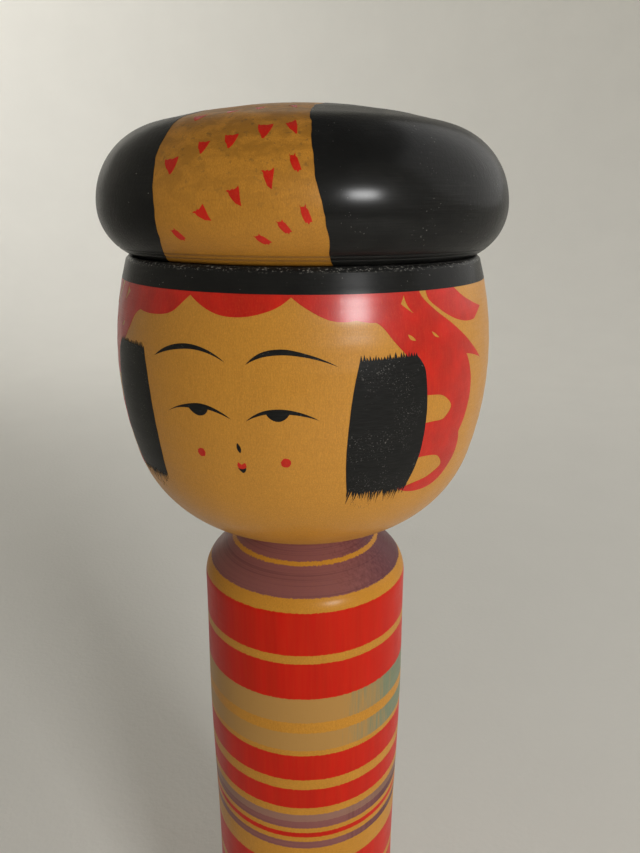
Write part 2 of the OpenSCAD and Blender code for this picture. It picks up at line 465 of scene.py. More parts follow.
def shade(colour, factor):
    """A colour made darker or lighter."""
    return tuple(min(1.0, c * factor) for c in colour)


def wood_grain(finish):
    """The colour of waxed bare wood: upright fibres, fine pores and slow changes of tone."""
    fibre = finish.noise(0.24, 3.2, 4.0, 0.6)
    speckle = finish.noise(0.2, 0.42, 3.0, 0.7)
    tone = finish.noise(16.0, 60.0, 2.0, 0.5, 0.3)
    base = finish.mix(finish.rise(tone, 0.3, 0.72), shade(colours().wood, 0.88), colours().wood)
    grained = finish.mix(finish.rise(fibre, 0.42, 0.72, 0.42), base, colours().wood_dark)
    light = finish.ramp(speckle, (0.34, 0.5), (0.56, 0.0))
    return finish.mix(light, grained, shade(colours().wood, 1.35)), fibre, speckle


def wax_wear(finish, low, high):
    """Roughness of hand-rubbed wax, in soft patches crossed by fine lines round the piece."""
    patches = finish.noise(5.0, 5.0, 3.0, 0.6)
    rubbed = finish.noise(9.0, 0.25, 2.0, 0.5)
    both = finish.sum("MULTIPLY_ADD", rubbed, 0.5, finish.sum("MULTIPLY", patches, 0.5))
    return finish.ramp(both, (0.3, low), (0.7, high))


def bare_wood():
    """Waxed bare wood."""
    finish = Finish("bare_wood", coat=0.4, coat_roughness=0.24)
    colour, fibre, speckle = wood_grain(finish)
    tool = finish.noise(60.0, 0.22, 2.0, 0.6)
    colour = finish.mix(finish.rise(tool, 0.58, 0.75, 0.14), colour, colours().wood_dark)
    finish.bump(fibre, 0.03)
    finish.bump(speckle, 0.03)
    finish.bump(tool, 0.02)
    return finish.done(colour, wax_wear(finish, 0.34, 0.52))


def stained_wood():
    """Bare wood of the hair roll, with old brown stains, small specks and painted shade in its two scribed
    lines.
    """
    finish = Finish("stained_wood", coat=0.24, coat_roughness=0.3)
    colour, fibre, speckle = wood_grain(finish)
    blot = finish.noise(4.2, 2.6, 4.0, 0.65, 0.4)
    spots = finish.noise(1.0, 0.8, 2.0, 0.5)
    z = finish.apart(finish.place)["Z"]
    low, high = (corner.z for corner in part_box("hair_roll"))
    # The crown has aged most.
    upper = finish.fade(z, low + (high - low) * 0.25, low + (high - low) * 0.85, 0.15, 1.0)
    colour = finish.mix(1.0, colour, STRIP_TONE, "MULTIPLY")
    stain = finish.sum("MULTIPLY", finish.rise(blot, 0.4, 0.58, 0.8), upper)
    colour = finish.mix(stain, colour, OLD_STAIN)
    dots = finish.sum("MULTIPLY", finish.rise(spots, 0.62, 0.7, 0.6), upper)
    colour = finish.mix(dots, colour, OLD_SPECK)
    # The two scribed lines are painted darker: painted shade in the grooves.
    for rise in SCRIBED_RISE:
        groove_shade = finish.fade(finish.off(z, low + rise * MM), 0.05 * MM, 0.22 * MM, 0.7, 0.0)
        colour = finish.mix(groove_shade, colour, GROOVE_PAINTED_SHADE)
    finish.bump(fibre, 0.03)
    finish.bump(speckle, 0.025)
    return finish.done(colour, wax_wear(finish, 0.36, 0.55))


def black_paint():
    """The hair's black: rubbed satin, fine lines round the piece, and pale specks where it has chipped."""
    finish = Finish("black_paint", coat=0.32, coat_roughness=0.21, shine=0.03)
    rub = finish.noise(7.0, 0.3, 4.0, 0.65)
    dust = finish.noise(14.0, 9.0, 4.0, 0.6)
    film = finish.sum("MULTIPLY", finish.ramp(rub, (0.4, 0.15), (0.7, 1.0)), finish.rise(dust, 0.4, 0.75))
    colour = finish.mix(film, colours().black, shade(colours().black, RUBBED_BLACK))
    few = finish.rise(finish.noise(6.0, 5.0, 2.0, 0.5), 0.5, 0.6, 0.6)
    chips = finish.sum("MULTIPLY", finish.rise(finish.noise(0.5, 0.34, 2.0, 0.5), 0.71, 0.76), few)
    # The joint below the roll has the most wear.
    seam_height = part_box("hair_roll")[0].z - 0.5 * MM
    height = finish.apart(finish.place)["Z"]
    near = finish.fade(finish.off(height, seam_height), 0.1 * MM, 0.7 * MM, 1.0, 0.0)
    rough_edge = finish.rise(finish.noise(0.6, 0.3, 3.0, 0.7), 0.56, 0.66, 0.6)
    worn = finish.sum("MULTIPLY", rough_edge, near)
    colour = finish.mix(finish.sum("MAXIMUM", chips, worn), colour, CHIPPED)
    finish.bump(finish.noise(0.7, 0.9, 4.0, 0.7), 0.075)
    finish.bump(rub, 0.02)
    return finish.done(colour, finish.ramp(dust, (0.3, 0.34), (0.72, 0.5)))


def black_ink():
    """Brushed ink, dense and a little glossy."""
    finish = Finish("black_ink", coat=0.1, shine=0.1)
    sweep = finish.noise(3.0, 0.18, 4.0, 0.7)
    thin = finish.rise(sweep, 0.4, 0.75, 0.8)
    colour = finish.mix(thin, colours().black, shade(colours().black, RUBBED_BLACK))
    few = finish.rise(finish.noise(5.0, 6.0, 2.0, 0.5), 0.42, 0.6, 0.6)
    bare = finish.sum("MULTIPLY", finish.rise(finish.noise(0.35, 0.25, 3.0, 0.6), 0.62, 0.7), few)
    colour = finish.mix(bare, colour, DRY_INK)
    finish.bump(sweep, 0.02)
    return finish.done(colour, finish.ramp(sweep, (0.3, 0.36), (0.7, 0.5)))


def red_paint():
    """Scarlet dye on wood: fibres show through, and it pools darker in places."""
    finish = Finish("red_paint", coat=0.45, coat_roughness=0.24)
    fibre = finish.noise(0.3, 5.0, 4.0, 0.6)
    pool = finish.rise(finish.noise(4.5, 6.0, 3.0, 0.55), 0.36, 0.64)
    speckle = finish.noise(0.25, 0.35, 3.0, 0.7)
    colour = finish.mix(pool, shade(colours().red, 0.78), colours().red)
    thin = finish.sum("ADD", finish.rise(fibre, 0.48, 0.75, 0.2), finish.rise(speckle, 0.5, 0.75, 0.25))
    colour = finish.mix(thin, colour, THIN_RED)
    finish.bump(fibre, 0.03)
    finish.bump(speckle, 0.03)
    return finish.done(colour, wax_wear(finish, 0.34, 0.52))


def band_edges(dye, top):
    """Ramp stops that are 1 where the trunk wears a dye, from its foot up."""
    low, stops = top, []
    for name, width in TRUNK_BANDS:
        high, low = low, low - width * MM
        if name == dye:
            stops += [(high / top, 0.0), (low / top, 1.0)]
    return [(0.0, 0.0), *reversed(stops)]


def trunk_finish():
    """Wood with rings of dye. Each dye soaks unevenly along the fibres and bleeds a little at its edges."""
    finish = Finish("trunk_dyes", coat=0.16, coat_roughness=0.25, shine=0.08)
    colour, fibre, speckle = wood_grain(finish)
    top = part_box("body")[1].z
    place = finish.apart(finish.place)
    bleed = finish.noise(0.4, 30.0, 3.0, 0.7)
    height = finish.sum("MULTIPLY_ADD", finish.sum("SUBTRACT", bleed, 0.5), 0.9 * MM, place["Z"])
    share = finish.sum("DIVIDE", height, top)
    streak = finish.noise(0.75, 14.0, 4.0, 0.65)
    wide = finish.noise(4.0, 60.0, 3.0, 0.6)
    lines = finish.noise(80.0, 0.28, 3.0, 0.7)
    # Light has bleached the front; the side away from it keeps its strength.
    shaded = finish.sum("MULTIPLY", finish.sum("SUBTRACT", streak, 0.5), 1.2)
    for axis, way in zip("XY", SHADED_WAY):
        shaded = finish.sum("MULTIPLY_ADD", place[axis], way / (TRUNK_RADIUS * MM), shaded)
    fresh = finish.rise(shaded, 0.0, 0.55)
    full = finish.rise(wide, 0.35, 0.65)
    dyes = {
        "red": (finish.mix(full, shade(colours().red, 0.86), colours().red), 1.0),
        "green": (finish.mix(fresh, BLEACHED_GREEN, colours().green), 0.92),
        "mauve": (finish.mix(fresh, colours().mauve, shade(colours().mauve, 0.7)), 0.9),
        "purple": (finish.mix(fresh, BLEACHED_PURPLE, colours().purple), 0.96),
    }
    for dye, (dye_colour, strength) in dyes.items():
        worn = finish.ramp(share, *band_edges(dye, top), interpolation="CONSTANT")
        soak = finish.ramp(streak, (0.35, strength), (0.8, strength * 0.95))
        colour = finish.mix(finish.sum("MULTIPLY", worn, soak), colour, dye_colour)
        if dye == "purple":
            scored = finish.sum("MULTIPLY", worn, finish.rise(lines, 0.5, 0.72, 0.5))
            colour = finish.mix(scored, colour, shade(colours().purple, 0.6))
    finish.bump(fibre, 0.02)
    finish.bump(speckle, 0.012)
    finish.bump(lines, 0.02)
    return finish.done(colour, wax_wear(finish, 0.30, 0.48))


def pin_finish():
    """Plain dry wood of the hidden pin and peg."""
    finish = Finish("dry_wood", roughness=0.6)
    fibre = finish.noise(0.4, 9.0, 4.0, 0.6)
    colour = finish.mix(finish.rise(fibre, 0.4, 0.75, 0.6), DRY_WOOD, DRY_GRAIN)
    finish.bump(fibre, 0.03)
    return finish.done(colour)


def backdrop_finish():
    """Pale painted studio floor and cove."""
    finish = Finish("backdrop", roughness=0.9)
    mottle = finish.noise(90.0, 90.0, 3.0, 0.6)
    colour = finish.mix(mottle, shade(colours().backdrop, 0.97), shade(colours().backdrop, 1.03))
    finish.bump(finish.noise(3.0, 3.0, 3.0, 0.6), 0.2)
    return finish.done(colour)


FINISHES = {
    "bare_wood": bare_wood,
    "stained_wood": stained_wood,
    "black_paint": black_paint,
    "black_ink": black_ink,
    "red_paint": red_paint,
    "trunk_dyes": trunk_finish,
    "dry_wood": pin_finish,
    "backdrop": backdrop_finish,
}


def material(name):
    """A finish by name, mixed the first time that it is asked for."""
    return bpy.data.materials.get(name) or FINISHES[name]()


# ---------------------------------------------------------------- outlines


# Heights closer than the first count as level, and points closer than the second as one, in metres.
LEVEL = 1e-7
NEAR = 1e-6


class Outline:
    """The half outline of a turned piece: radius and height of each point, and the length along it."""

    def __init__(self, points):
        self.points = np.array(points, float)
        steps = np.hypot(*np.diff(self.points, axis=0).T)
        self.length = np.concatenate([[0.0], np.cumsum(steps)])

    def along(self, height):
        """Length along the outline at a height. The outline has to rise all the way."""
        return np.interp(height, self.points[:, 1], self.length)

    def normals(self):
        """Unit normals that point away from the wood."""
        rise = np.gradient(self.points, self.length, axis=0)
        rise /= np.linalg.norm(rise, axis=1)[:, None]
        return np.stack([rise[:, 1], -rise[:, 0]], 1)

    def mesh(self, name, start=None, sweep=None):
        """The outline as a chain of edges in the XZ plane, with the angles that each point turns through."""
        count = len(self.points)
        made = bpy.data.meshes.new(name)
        corners = [(r, 0, z) for r, z in self.points]
        made.from_pydata(corners, [(i, i + 1) for i in range(count - 1)], [])
        angles = {
            "start": np.zeros(count) if start is None else start,
            "sweep": np.full(count, 2 * math.pi) if sweep is None else sweep,
            "along": self.length / self.length[-1],
        }
        for label, values in angles.items():
            made.attributes.new(label, "FLOAT", "POINT").data.foreach_set("value", values.astype(np.float32))
        return made


def seam(node):
    """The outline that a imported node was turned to, read from the edges that lie in its XZ plane.

    It is given so that the outside rises from foot to top.
    """
    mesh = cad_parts[node].data
    spots, links = {}, {}
    for vertex in mesh.vertices:
        if abs(vertex.co.y) < LEVEL and vertex.co.x > -LEVEL:
            spots[vertex.index] = (round(vertex.co.x, 6), round(vertex.co.z, 6))
    for edge in mesh.edges:
        a, b = (spots.get(index) for index in edge.vertices)
        if a and b and a != b:
            links.setdefault(a, set()).add(b)
            links.setdefault(b, set()).add(a)
    ends = sorted(spot for spot, near in links.items() if len(near) == 1)
    if len(ends) != 2:
        raise RuntimeError(f"the outline of {node} isn't one line")
    line = [ends[0]]
    while line[-1] != ends[1]:
        line.append(next(spot for spot in links[line[-1]] if spot not in line[-2:]))
    line = np.array(line, float)
    ahead = np.roll(line, -1, axis=0)
    turning = np.sum(line[:, 0] * ahead[:, 1] - ahead[:, 0] * line[:, 1])
    return line if turning > 0 else line[::-1]


def eased(points, step):
    """Points about one step apart on a smooth line through the given ones."""
    points = np.array(points, float)
    if len(points) < 3:
        count = max(1, math.ceil(np.hypot(*(points[-1] - points[0])) / step))
        return [points[0] + (points[-1] - points[0]) * i / count for i in range(count + 1)]
    gaps = np.hypot(*np.diff(points, axis=0).T)
    slopes = np.diff(points, axis=0) / gaps[:, None]
    inner = (slopes[:-1] * gaps[1:, None] + slopes[1:] * gaps[:-1, None]) / (gaps[1:] + gaps[:-1])[:, None]
    pulls = np.vstack([2 * slopes[0] - inner[0], inner, 2 * slopes[-1] - inner[-1]])
    line = [points[0]]
    for i, gap in enumerate(gaps):
        count = max(1, math.ceil(gap / step))
        for t in np.arange(1, count + 1) / count:
            start = (1 + 2 * t) * (1 - t) ** 2 * points[i] + t * (1 - t) ** 2 * gap * pulls[i]
            end = t * t * (3 - 2 * t) * points[i + 1] + t * t * (t - 1) * gap * pulls[i + 1]
            line.append(start + end)
    return line


def turned_outline(node, step, corner=12.0):
    """A node's outline with its curves made smooth and its corners kept."""
    points = seam(node)
    steps = np.diff(points, axis=0)
    heading = np.unwrap(np.arctan2(steps[:, 1], steps[:, 0]))
    corners = [i + 1 for i, turn in enumerate(np.diff(heading)) if abs(turn) > math.radians(corner)]
    breaks = [0, *corners, len(points) - 1]
    line = [points[0]]
    for a, b in zip(breaks, breaks[1:]):
        line += eased(points[a : b + 1], step)[1:]
    line = np.array(line)
    line[:, 1] = line[:, 1].clip(points[:, 1].min(), points[:, 1].max())
    return line


def outer_stretch(points, low, high):
    """The part of an outline that rises along the outside between two heights, and where it begins."""
    heights = points[:, 1]
    first = last = int(np.argmax(points[:, 0]))
    while first > 0 and low - NEAR < heights[first - 1] < heights[first] - LEVEL:
        first -= 1
    while last < len(points) - 1 and heights[last] + LEVEL < heights[last + 1] < high + NEAR:
        last += 1
    return first, last


# ---------------------------------------------------------------- geometry trees


WRAP_INPUTS = (
    ("Outline", "NodeSocketObject"),
    ("Reference radius", "NodeSocketFloat"),
    ("Lift", "NodeSocketFloat"),
)
PAINT_INPUT = ("Material", "NodeSocketMaterial")


class Layout(Tree):
    """A geometry tree, with the steps that several of them share."""

    def __init__(self, name, sockets):
        tree = bpy.data.node_groups.new(name, "GeometryNodeTree")
        tree.is_modifier = True
        for label, kind in (("Geometry", "NodeSocketGeometry"), *sockets):
            tree.interface.new_socket(label, in_out="INPUT", socket_type=kind)
        tree.interface.new_socket("Geometry", in_out="OUTPUT", socket_type="NodeSocketGeometry")
        super().__init__(tree)
        self.given = tree.nodes.new("NodeGroupInput").outputs

    def here(self):
        """The place of each point."""
        return self.get("GeometryNodeInputPosition")

    def named(self, label, kind="FLOAT"):
        """An attribute by its name."""
        return self.get("GeometryNodeInputNamedAttribute", {"Name": label}, data_type=kind)

    def shape(self, label):
        """The mesh of an object that the tree is given."""
        return self.get("GeometryNodeObjectInfo", {"Object": self.given[label]}, "Geometry")

    def move(self, geometry, **where):
        """Puts each point at a Position, or shifts it by an Offset."""
        return self.get("GeometryNodeSetPosition", {"Geometry": geometry, **where})

    def lean(self, angle):
        """A turn by an angle in the flat."""
        return self.get("FunctionNodeEulerToRotation", {0: self.together(0.0, 0.0, angle)})

    def round_place(self, radius, angle, height):
        """A place so far round Z from the middle of the face."""
        x = self.sum("MULTIPLY", radius, self.sum("SINE", angle))
        y = self.sum("MULTIPLY", radius, self.sum("MULTIPLY", self.sum("COSINE", angle), -1.0))
        return self.together(x, y, height)

    def wrap(self, geometry):
        """Lays flat geometry on the outline that the tree is given."""
        node = self.add("GeometryNodeGroup", node_tree=tree_named("wrap_round"))
        self.tree.links.new(geometry, node.inputs["Geometry"])
        for label, _ in WRAP_INPUTS:
            self.tree.links.new(self.given[label], node.inputs[label])
        return node.outputs[0]

    def close(self, geometry, painted=True):
        """Ends the tree. A finished piece gets real meshes, smooth faces and its material."""
        if painted:
            geometry = self.get("GeometryNodeRealizeInstances", {0: geometry})
            geometry = self.get("GeometryNodeSetShadeSmooth", {0: geometry})
            geometry = self.get("GeometryNodeSetMaterial", {0: geometry, "Material": self.given["Material"]})
        self.add("NodeGroupOutput", {0: geometry})
        return self.tree


def lathe_tree():
    """Turns a chain of edges round Z. Each point starts at its own angle and sweeps its own way round."""
    layout = Layout("turn_on_lathe", [("Steps", "NodeSocketInt"), PAINT_INPUT])
    chain, steps = layout.given["Geometry"], layout.given["Steps"]
    rows = layout.get("GeometryNodeAttributeDomainSize", {0: chain}, "Point Count")
    columns = layout.sum("ADD", steps, 1.0)
    sheet = layout.get("GeometryNodeMeshGrid", {"Vertices X": columns, "Vertices Y": rows}, "Mesh")
    index = layout.get("GeometryNodeInputIndex")
    row = layout.sum("FLOORED_MODULO", index, rows)
    turned = layout.sum("DIVIDE", layout.sum("FLOOR", layout.sum("DIVIDE", index, rows)), steps)

    def on_row(field, kind="FLOAT"):
        """What a point of the chain has, read by every point of its row."""
        inputs = {"Geometry": chain, "Value": field, "Index": row}
        return layout.get("GeometryNodeSampleIndex", inputs, data_type=kind, domain="POINT")

    place = layout.apart(on_row(layout.here(), "FLOAT_VECTOR"))
    sweep, start = on_row(layout.named("sweep")), on_row(layout.named("start"))
    spot = layout.round_place(place["X"], layout.sum("MULTIPLY_ADD", turned, sweep, start), place["Z"])
    flat = layout.together(turned, on_row(layout.named("along")), 0.0)
    inputs = {"Geometry": sheet, "Name": "OFBake", "Value": flat}
    mapped = layout.get("GeometryNodeStoreNamedAttribute", inputs, data_type="FLOAT2", domain="CORNER")
    inputs = {"Geometry": layout.move(mapped, Position=spot), "Distance": 1e-6}
    return layout.close(layout.get("GeometryNodeMergeByDistance", inputs))


def wrap_tree():
    """Lays a flat mark round a turned piece: X is the way round, Y the way up its outline, both in metres."""
    layout = Layout("wrap_round", WRAP_INPUTS)
    given = layout.given
    curve = layout.get("GeometryNodeMeshToCurve", {0: layout.shape("Outline")})
    flat = layout.apart(layout.here())
    inputs = {"Curves": curve, "Length": flat["Y"]}
    sample = layout.add("GeometryNodeSampleCurve", inputs, mode="LENGTH").outputs
    place = layout.apart(sample["Position"])
    rise = layout.apart(sample["Tangent"])
    angle = layout.sum("DIVIDE", flat["X"], given["Reference radius"])
    radius = layout.sum("MULTIPLY_ADD", rise["Z"], given["Lift"], place["X"])
    height = layout.sum("SUBTRACT", place["Z"], layout.sum("MULTIPLY", rise["X"], given["Lift"]))
    spot = layout.round_place(radius, angle, height)
    return layout.close(layout.move(given["Geometry"], Position=spot), painted=False)


def mark_tree():
    """One painted mark, laid on and given its paint."""
    layout = Layout("painted_mark", [*WRAP_INPUTS, PAINT_INPUT])
    return layout.close(layout.wrap(layout.given["Geometry"]))


def stamp_tree():
    """Dabs stamped at points: each point has its own shape, turn and size, and the edges come out ragged."""
    shapes = [(shape, "NodeSocketObject") for shape in DAB_SHAPES]
    layout = Layout("stamped_dabs", [*shapes, *WRAP_INPUTS, PAINT_INPUT])
    turned = layout.lean(layout.named("turn"))
    together = layout.add("GeometryNodeJoinGeometry")
    for kind, shape in enumerate(DAB_SHAPES):
        inputs = {
            "Points": layout.given["Geometry"],
            "Selection": layout.sum("COMPARE", layout.named("kind"), float(kind), 0.5),
            "Instance": layout.shape(shape),
            "Rotation": turned,
            "Scale": layout.named("size", "FLOAT_VECTOR"),
        }
        layout.tree.links.new(layout.get("GeometryNodeInstanceOnPoints", inputs), together.inputs[0])
    real = layout.get("GeometryNodeRealizeInstances", {0: together.outputs[0]})
    inputs = {"Vector": layout.here(), "Scale": 700.0, "Detail": 2.0}
    wander = layout.get("ShaderNodeTexNoise", inputs, "Color")
    reach = (DAB_WANDER * MM, DAB_WANDER * MM, 0.0)
    for operation, by in (("SUBTRACT", (0.5, 0.5, 0.5)), ("MULTIPLY", reach)):
        wander = layout.get("ShaderNodeVectorMath", {0: wander, 1: by}, operation=operation)
    return layout.close(layout.wrap(layout.move(real, Offset=wander)))


def bristle_tree():
    """Streaks left by a drying brush: slivers along a line, each a different length and lean."""
    sockets = [("Sliver", "NodeSocketObject"), ("Count", "NodeSocketInt"), ("Seed", "NodeSocketInt")]
    layout = Layout("dry_brush", [*sockets, *WRAP_INPUTS, PAINT_INPUT])
    given = layout.given
    curve = layout.get("GeometryNodeMeshToCurve", {0: given["Geometry"]})
    line = layout.get("GeometryNodeResampleCurve", {"Curve": curve, "Count": given["Count"]})
    points = layout.get("GeometryNodeCurveToPoints", {"Curve": line}, mode="EVALUATED")

    def chance(kind, low, high, seed, minimum, maximum, result):
        """A random value for each streak; the last three are the node's sockets for that kind."""
        inputs = {minimum: low, maximum: high, "Seed": layout.sum("ADD", given["Seed"], float(seed))}
        return layout.get("FunctionNodeRandomValue", inputs, result, data_type=kind)

    lean = chance("FLOAT", -0.3, 0.08, 1, 2, 3, 1)
    share = layout.apart(chance("FLOAT_VECTOR", (0.6, 0.4, 1.0), (1.6, 1.05, 1.0), 2, 0, 1, 0))
    size = layout.together(share["X"], layout.sum("MULTIPLY", share["Y"], layout.named("reach")), 1.0)
    shift = chance("FLOAT_VECTOR", (-0.25 * MM, 0.0, 0.0), (0.25 * MM, 0.9 * MM, 0.0), 3, 0, 1, 0)
    inputs = {
        "Points": layout.move(points, Offset=shift),
        "Instance": layout.shape("Sliver"),
        "Rotation": layout.lean(lean),
        "Scale": size,
    }
    real = layout.get("GeometryNodeRealizeInstances", {0: layout.get("GeometryNodeInstanceOnPoints", inputs)})
    return layout.close(layout.wrap(real))


TREES = {
    "turn_on_lathe": lathe_tree,
    "wrap_round": wrap_tree,
    "painted_mark": mark_tree,
    "stamped_dabs": stamp_tree,
    "dry_brush": bristle_tree,
}


def tree_named(name):
    """A geometry tree by name, laid out the first time that it is asked for."""
    return bpy.data.node_groups.get(name) or TREES[name]()


def helper(name, mesh):
    """An object that only feeds a tree; take_away() removes it."""
    made = bpy.data.objects.new(name, mesh)
    bpy.context.scene.collection.objects.link(made)
    return made


def take_away(*helpers):
    """Removes helper objects."""
    for piece in helpers:
        bpy.data.objects.remove(piece)


def grown(name, mesh, tree, inputs, film=0.0):
    """A piece made by a tree from a base mesh, and given a film's thickness if it is paint."""
    piece = helper(name, mesh)
    modifier = piece.modifiers.new("make", "NODES")
    modifier.node_group = tree_named(tree)
    for item in modifier.node_group.interface.items_tree:
        if item.in_out == "INPUT" and item.name in inputs:
            modifier[item.identifier] = inputs[item.name]
    if film:
        depth = piece.modifiers.new("film", "SOLIDIFY")
        depth.thickness = film
        depth.offset = -1.0
        depth.use_even_offset = False
    graph = bpy.context.evaluated_depsgraph_get()
    made = bpy.data.meshes.new_from_object(piece.evaluated_get(graph), depsgraph=graph)
    piece.modifiers.clear()
    piece.data = made
    made.name = name
    if film and "OFBake" in made.uv_layers:
        made.uv_layers.remove(made.uv_layers["OFBake"])
    for spare in ("start", "sweep", "along", "turn", "size", "kind", "reach"):
        if spare in made.attributes:
            made.attributes.remove(made.attributes[spare])
    made.set_sharp_from_angle(angle=math.radians(SHARP))
    return piece


# ---------------------------------------------------------------- flat marks


def inside(points, loops):
    """Which points lie inside the outer loop and outside the gaps."""
    points = np.asarray(points, float)
    odd = np.zeros(len(points), bool)
    for loop in loops:
        a = np.asarray(loop, float)
        b = np.roll(a, -1, axis=0)
        for (ax, ay), (bx, by) in zip(a, b):
            if ay != by:
                crosses = (ay > points[:, 1]) != (by > points[:, 1])
                odd ^= crosses & (points[:, 0] < (bx - ax) * (points[:, 1] - ay) / (by - ay) + ax)
    return odd


def flat_mesh(name, loops, spacing):
    """A flat mesh of even triangles inside an outline, all in mm, given in metres."""
    rim = np.vstack(loops)
    low, high = rim.min(0), rim.max(0)
    grid = [
        (x + (spacing / 2 if k % 2 else 0), y)
        for k, y in enumerate(np.arange(low[1], high[1], spacing * 0.87))
        for x in np.arange(low[0], high[0], spacing)
    ]
    if grid:
        grid = np.array(grid)
        grid = grid[inside(grid, loops)]
        if len(grid):
            near = np.min(np.hypot(grid[:, None, 0] - rim[:, 0], grid[:, None, 1] - rim[:, 1]), axis=1)
            grid = grid[near > spacing * 0.4]
    edges, first = [], 0
    for loop in loops:
        edges += [(first + i, first + (i + 1) % len(loop)) for i in range(len(loop))]
        first += len(loop)
    spots = [Vector(p) for p in [*rim, *grid]]
    corners, _, faces = delaunay_2d_cdt(spots, edges, [], 0, 1e-6)[:3]
    middles = [sum((corners[i] for i in face), Vector((0, 0))) / len(face) for face in faces]
    kept = [face for face, keep in zip(faces, inside(middles, loops)) if keep]
    used = sorted({i for face in kept for i in face})
    renumber = {old: new for new, old in enumerate(used)}
    made = bpy.data.meshes.new(name)
    places = [(corners[i].x * MM, corners[i].y * MM, 0) for i in used]
    made.from_pydata(places, [], [[renumber[i] for i in face] for face in kept])
    if made.polygons and sum(p.normal.z * p.area for p in made.polygons) < 0:
        made.flip_normals()
    return made


class Ground:
    """A turned surface that marks are laid on, from its foot up."""

    def __init__(self, name, outline, radius, seat):
        self.outline = outline
        self.radius = radius
        self.seat = seat
        self.guide = helper(name, outline.mesh(name))

    def spot(self, degrees, drop):
        """The flat place, in mm, of a point so far round and so far below the hair's seat."""
        return (math.radians(degrees) * self.radius / MM, self.outline.along(self.seat - drop * MM) / MM)

    def loop(self, strokes, step=0.45):
        """The closed flat outline of a mark from its strokes."""
        line = []
        for stroke in strokes:
            line += eased([self.spot(*point) for point in stroke], step)[:-1]
        return np.array(line)

    def inputs(self, paint, lift):
        """What every tree that lays marks on this surface is given."""
        return {
            "Outline": self.guide,
            "Reference radius": self.radius,
            "Lift": lift,
            "Material": material(paint),
        }

    def paint(self, name, loops, paint, lift):
        """A painted mark on this surface."""
        flat = flat_mesh(name, loops, sizes().grain / MM)
        return grown(name, flat, "painted_mark", self.inputs(paint, lift), sizes().film)


def mirrored(strokes):
    """The same strokes on the other side of the face."""
    return [[(-degrees, drop) for degrees, drop in stroke] for stroke in strokes]


def ragged(start, end, teeth, depth, chance):
    """A line from one flat point to another with brush-like teeth on its right-hand side, in mm."""
    start, end = np.array(start), np.array(end)
    out = np.array([(end - start)[1], -(end - start)[0]])
    out /= np.hypot(*out)
    line = []
    for i in range(teeth):
        notch = start + (end - start) * (i + chance.uniform(-0.2, 0.2) * (i > 0)) / teeth
        tip = start + (end - start) * (i + 0.5 + chance.uniform(-0.25, 0.25)) / teeth
        line += [notch, tip + out * depth * chance.uniform(0.35, 1.0)]
    return line


def on(piece, body, slot, *nodes):
    """Says which body a piece moves with, and hides the nodes that it stands for; its finish, the slot, is
    not used.
    """
    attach(piece, body)
    if nodes:
        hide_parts(*nodes)
    return piece


# ---------------------------------------------------------------- the turned pieces


def inset(points, first, last, depth):
    """Moves the outside of an outline in by a paint's allowance."""
    stretch = Outline(points[first : last + 1])
    moved = stretch.points - stretch.normals() * depth
    moved[:, 0] = moved[:, 0].clip(0)
    points[first : last + 1] = moved
    return points


def lathe(name, points, finish, start=None, sweep=None, film=0.0, steps=None):
    """Turns an outline into a piece."""
    outline = Outline(points)
    inputs = {"Steps": steps or sizes().steps_around, "Material": material(finish)}
    return grown(name, outline.mesh(name, start, sweep), "turn_on_lathe", inputs, film)


def with_cap_ends(points):
    """Adds the points on the axis that close an outline's flat ends."""
    foot, top = ([[0.0, end[1]]] if end[0] > NEAR else [] for end in (points[0], points[-1]))
    return np.vstack([*foot, points, *top])


_grounds = {}


def ground(node):
    """The outside of the head or the roll, as a surface for paint."""
    if node not in _grounds:
        points = turned_outline(node, sizes().row)
        low, high = (corner.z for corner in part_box(node))
        first, last = outer_stretch(points, low + 0.5 * MM if node == "head" else low, high)
        points = inset(points, first, last, sizes().seat)
        if node == "hair_roll":
            points = scribed(points, first)
        else:
            # The flat top is painted round its rim, so it lies lower by the same allowance.
            points[points[:, 1] > high - NEAR, 1] -= sizes().seat
        last = len(points) - 1 if node == "hair_roll" else last
        stretch = Outline(points[first : last + 1])
        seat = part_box("hair_roll")[0].z
        _grounds[node] = (points, Ground(f"{node}_guide", stretch, points[:, 0].max(), seat))
    return _grounds[node]


def scribed(points, first):
    """Cuts two fine lines round the roll, just above its foot."""
    outline = Outline(points[first:])
    cuts = [cut * MM for cut in SCRIBED_ALONG]
    near = [cut + offset * MM for cut in cuts for offset in np.arange(-0.5, 0.51, 0.1)]
    places = np.unique(np.round(np.concatenate([outline.length, near]), 7))
    places = places[np.concatenate([[True], np.diff(places) > 0.02 * MM])]
    dense = np.stack([np.interp(places, outline.length, outline.points[:, k]) for k in (0, 1)], 1)
    depth = sum(np.exp(-(((places - cut) / (SCRIBED_WIDTH * MM)) ** 2)) for cut in cuts) * sizes().groove
    normals = Outline(dense).normals()
    dense -= normals * depth[:, None]
    return np.vstack([points[:first], dense])


class KOKESHI_OT_trunk(bpy.types.Operator):
    """Turns the trunk, with its socket for the pin and faint tool marks on its shoulder"""

    bl_idname = "kokeshi.trunk"
    bl_label = "Trunk"

    def execute(self, context):
        points = turned_outline("body", sizes().row)
        low, high = (corner.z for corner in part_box("body"))
        first, last = outer_stretch(points, low, high)
        points = inset(points, first, last, sizes().seat)
        points[first, 1] = low
        stretch = Outline(points[first : last + 1])
        normals = stretch.normals()
        # Where the shoulder slopes, the tool left fine rings.
        slope = np.clip((normals[:, 1] - 0.35) / 0.3, 0, 1)
        rings = np.sin(stretch.length / (TOOL_RING_STEP * MM) * 2 * math.pi)
        rings *= np.sin(stretch.length / (TOOL_RING_BEAT * MM))
        stretch.points -= normals * (slope * (0.5 + 0.5 * rings) * TOOL_RING_DEPTH * MM)[:, None]
        points[first : last + 1] = stretch.points
        trunk = lathe("trunk_wood", with_cap_ends(points), "trunk_dyes")
        on(trunk, TRUNK_BODY, "dyed_trunk", "body")
        return {"FINISHED"}


